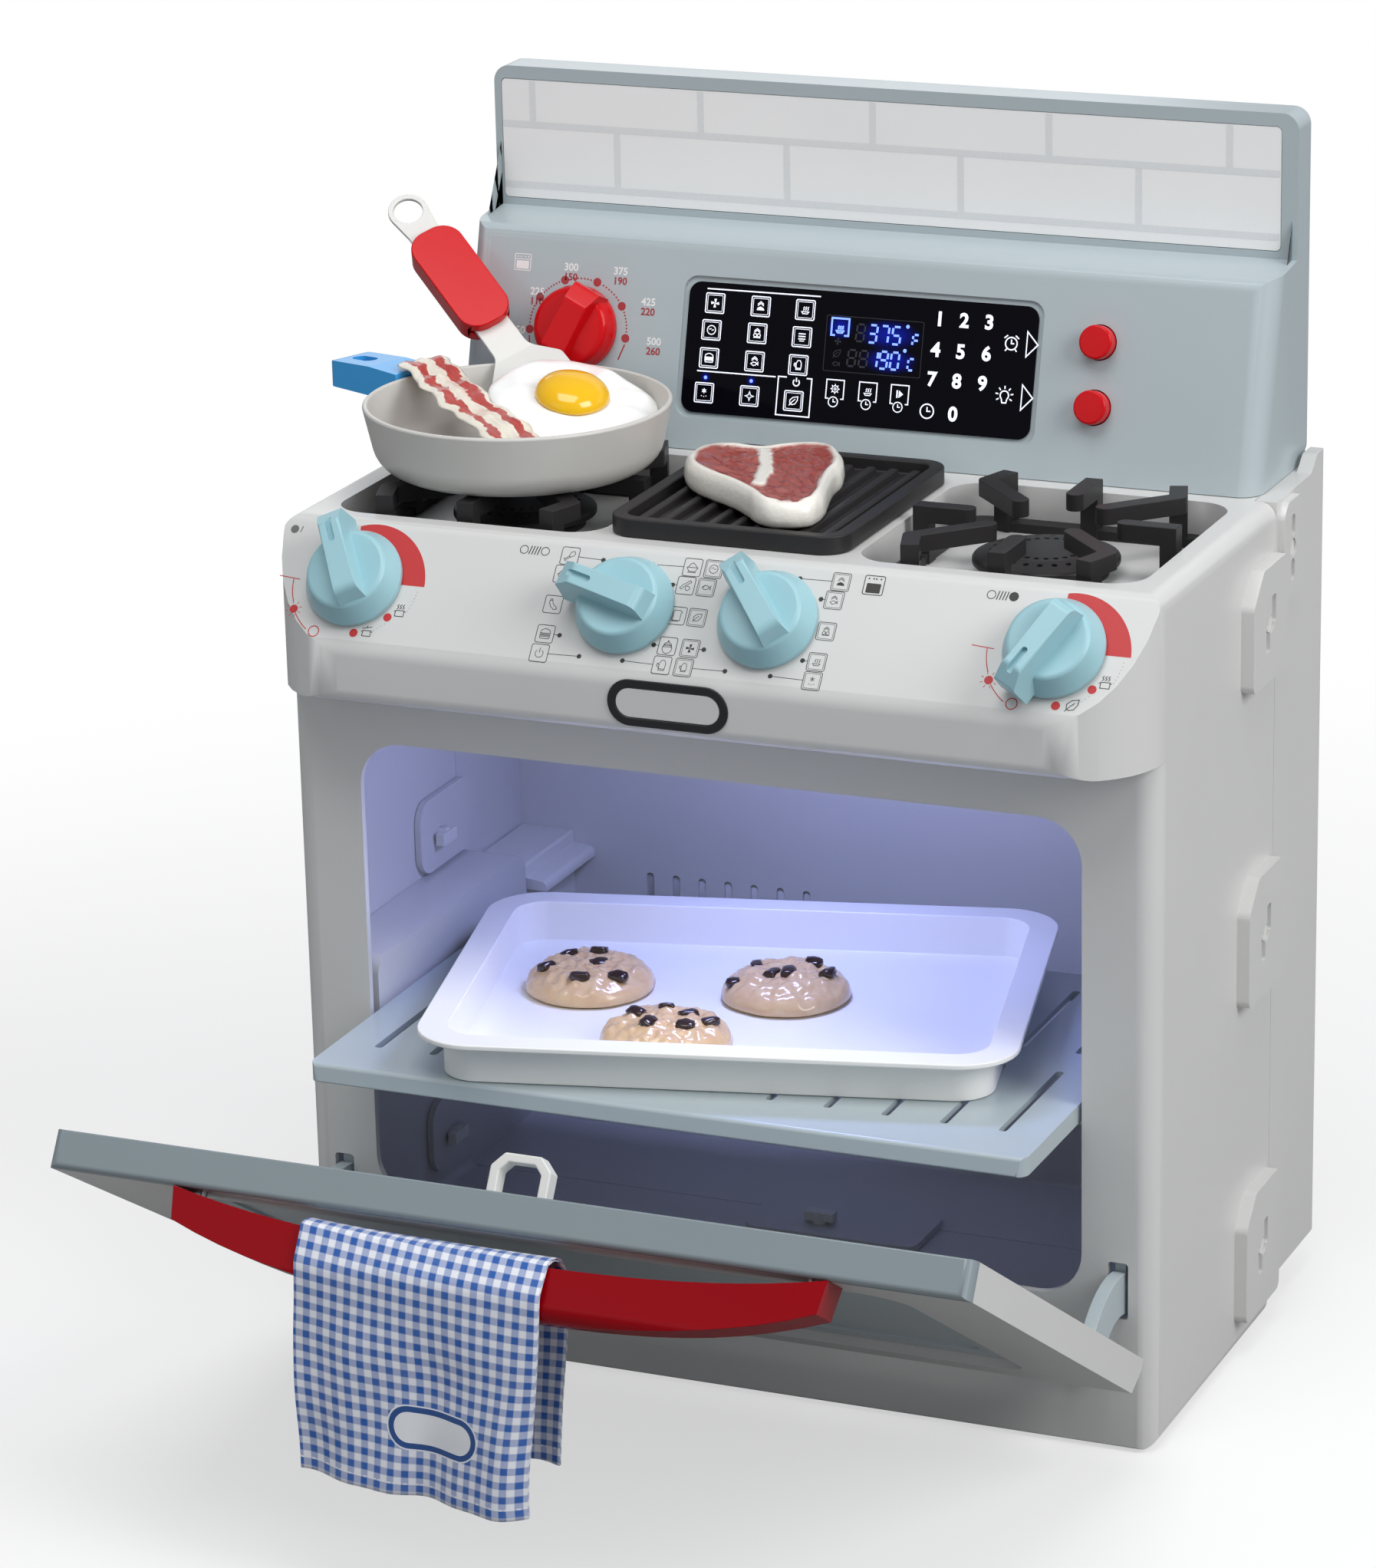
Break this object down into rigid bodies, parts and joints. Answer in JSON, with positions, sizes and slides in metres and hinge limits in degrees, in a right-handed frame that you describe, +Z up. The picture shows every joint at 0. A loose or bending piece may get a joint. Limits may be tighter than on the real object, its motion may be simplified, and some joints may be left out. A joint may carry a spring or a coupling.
{
  "type": "toy oven",
  "caption": "Toy kitchen cooker with moulded cooktop and console, drop-down oven door, sliding shelf, knobs, pan, tray and play food.",
  "frame": {"origin": "middle of the base footprint, on the floor", "axes": "+Z up, -Y is the front with the oven door, X runs across the front"},
  "size_m": [0.5262, 0.5765, 0.647],
  "materials": {
    "shell_white": "glossy warm white",
    "blue_grey": "glossy blue-grey",
    "knob_blue": "glossy light blue",
    "red": "glossy red",
    "dark_red": "glossy dark red",
    "charcoal": "satin charcoal",
    "tile_white": "white printed panel",
    "display_black": "high gloss black",
    "board_green": "satin green",
    "natural_plastic": "satin natural white",
    "dark_plastic": "satin black",
    "cell_blue": "glossy blue sleeve",
    "lamp_lens": "frosted lens",
    "foot_rubber": "matt black",
    "steel": "plain zinc",
    "towel_cloth": "blue and white gingham",
    "tray_white": "glossy white",
    "cookie_brown": "satin biscuit brown",
    "pan_grey": "glossy warm grey",
    "handle_blue": "glossy blue",
    "spatula_grey": "satin pale grey",
    "egg_white": "glossy white",
    "yolk_yellow": "glossy yellow",
    "bacon_red": "satin red and cream",
    "steak_red": "satin red and cream"
  },
  "bodies": {
    "cabinet": {"front_shell": "shell_white", "rear_shell": "shell_white", "rubber_feet": "foot_rubber", "twist_pins": "natural_plastic", "grate_left": "charcoal", "grate_right": "charcoal", "burner_cap_left": "charcoal", "burner_cap_right": "charcoal", "griddle": "charcoal", "knob_bushes": "natural_plastic", "console_housing": "blue_grey", "console_back": "blue_grey", "tile_panel": "tile_white", "display_glass": "display_black", "circuit_board": "board_green", "speaker": "dark_plastic", "battery_box": "natural_plastic", "battery_cover": "shell_white", "batteries": "cell_blue", "oven_lamp": "lamp_lens", "shelf_rail_left": "blue_grey", "shelf_rail_right": "blue_grey", "hinge_brackets": "shell_white"},
    "door": {"door_inner": "blue_grey", "door_outer": "shell_white", "door_window": "blue_grey", "door_latch": "natural_plastic", "stay_arm_left": "blue_grey", "stay_arm_right": "blue_grey", "door_handle": "dark_red", "handle_screws": "steel", "hinge_pins": "steel"},
    "towel": {"towel": "towel_cloth"},
    "shelf": {"oven_shelf": "blue_grey"},
    "tray": {"baking_tray": "tray_white"},
    "cookie_a": {"cookie_1": "cookie_brown"},
    "cookie_b": {"cookie_2": "cookie_brown"},
    "cookie_c": {"cookie_3": "cookie_brown"},
    "knob_a": {"burner_knob_1": "knob_blue"},
    "knob_b": {"burner_knob_2": "knob_blue"},
    "knob_c": {"burner_knob_3": "knob_blue"},
    "knob_d": {"burner_knob_4": "knob_blue"},
    "dial": {"oven_dial": "red"},
    "button_a": {"button_upper": "red"},
    "button_b": {"button_lower": "red"},
    "pan": {"pan_body": "pan_grey", "pan_handle": "handle_blue"},
    "spatula": {"spatula_blade": "spatula_grey", "spatula_grip": "red"},
    "egg": {"egg_white": "egg_white", "egg_yolk": "yolk_yellow"},
    "rasher": {"bacon": "bacon_red"},
    "steak": {"steak": "steak_red"}
  },
  "joints": [
    {"name": "door_hinge", "type": "hinge", "parent": "cabinet", "child": "door", "pos_m": [0, -0.146, 0.047], "axis": [1, 0, 0], "range_deg": [-58, 0]},
    {"name": "towel_swing", "type": "hinge", "parent": "door", "child": "towel", "pos_m": [0, -0.41813, 0.17083], "axis": [1, 0, 0], "range_deg": [0, 58]},
    {"name": "shelf_slide", "type": "slide", "parent": "cabinet", "child": "shelf", "axis": [0, 1, 0], "range_m": [0, 0.081]},
    {"name": "tray_turn", "type": "hinge", "parent": "shelf", "child": "tray", "pos_m": [-0.0083, -0.0802, 0.19], "axis": [0, 0, 1], "range_deg": [-13.4, 0]},
    {"name": "cookie_lift_a", "type": "slide", "parent": "tray", "child": "cookie_a", "axis": [0, 0, 1], "range_m": [0, 0.06]},
    {"name": "cookie_lift_b", "type": "slide", "parent": "tray", "child": "cookie_b", "axis": [0, 0, 1], "range_m": [0, 0.06]},
    {"name": "cookie_lift_c", "type": "slide", "parent": "tray", "child": "cookie_c", "axis": [0, 0, 1], "range_m": [0, 0.06]},
    {"name": "burner_turn_1", "type": "hinge", "parent": "cabinet", "child": "knob_a", "pos_m": [-0.191, -0.15115, 0.43168], "axis": [0, -0.7795, 0.6264], "continuous": true},
    {"name": "burner_turn_2", "type": "hinge", "parent": "cabinet", "child": "knob_b", "pos_m": [-0.039, -0.15115, 0.43168], "axis": [0, -0.7795, 0.6264], "continuous": true},
    {"name": "burner_turn_3", "type": "hinge", "parent": "cabinet", "child": "knob_c", "pos_m": [0.039, -0.15115, 0.43168], "axis": [0, -0.7795, 0.6264], "continuous": true},
    {"name": "burner_turn_4", "type": "hinge", "parent": "cabinet", "child": "knob_d", "pos_m": [0.191, -0.15115, 0.43168], "axis": [0, -0.7795, 0.6264], "continuous": true},
    {"name": "dial_turn", "type": "hinge", "parent": "cabinet", "child": "dial", "pos_m": [-0.161, 0.06759, 0.51632], "axis": [0, -0.965, 0.2622], "range_deg": [-65, 150]},
    {"name": "press_upper", "type": "slide", "parent": "cabinet", "child": "button_a", "axis": [0, 0.965, -0.2622], "range_m": [0, 0.0035], "stiffness_N_per_m": 300, "springref_m": -0.004},
    {"name": "press_lower", "type": "slide", "parent": "cabinet", "child": "button_b", "axis": [0, 0.965, -0.2622], "range_m": [0, 0.0035], "stiffness_N_per_m": 300, "springref_m": -0.004},
    {"name": "pan_lift", "type": "slide", "parent": "cabinet", "child": "pan", "axis": [0, 0, 1], "range_m": [0, 0.08]},
    {"name": "spatula_lift", "type": "slide", "parent": "pan", "child": "spatula", "axis": [0, 0, 1], "range_m": [0, 0.06]},
    {"name": "egg_lift", "type": "slide", "parent": "spatula", "child": "egg", "axis": [0, 0, 1], "range_m": [0, 0.06]},
    {"name": "rasher_lift", "type": "slide", "parent": "pan", "child": "rasher", "axis": [0, 0, 1], "range_m": [0, 0.06]},
    {"name": "steak_lift", "type": "slide", "parent": "cabinet", "child": "steak", "axis": [0, 0, 1], "range_m": [0, 0.06]}
  ],
  "couplings": [
    {"joint": "towel_swing", "follows": "door_hinge", "ratio": -1},
    {"joint": "shelf_slide", "follows": "door_hinge", "m_per_rad": -0.08},
    {"joint": "tray_turn", "follows": "door_hinge", "ratio": 0.23093}
  ]
}
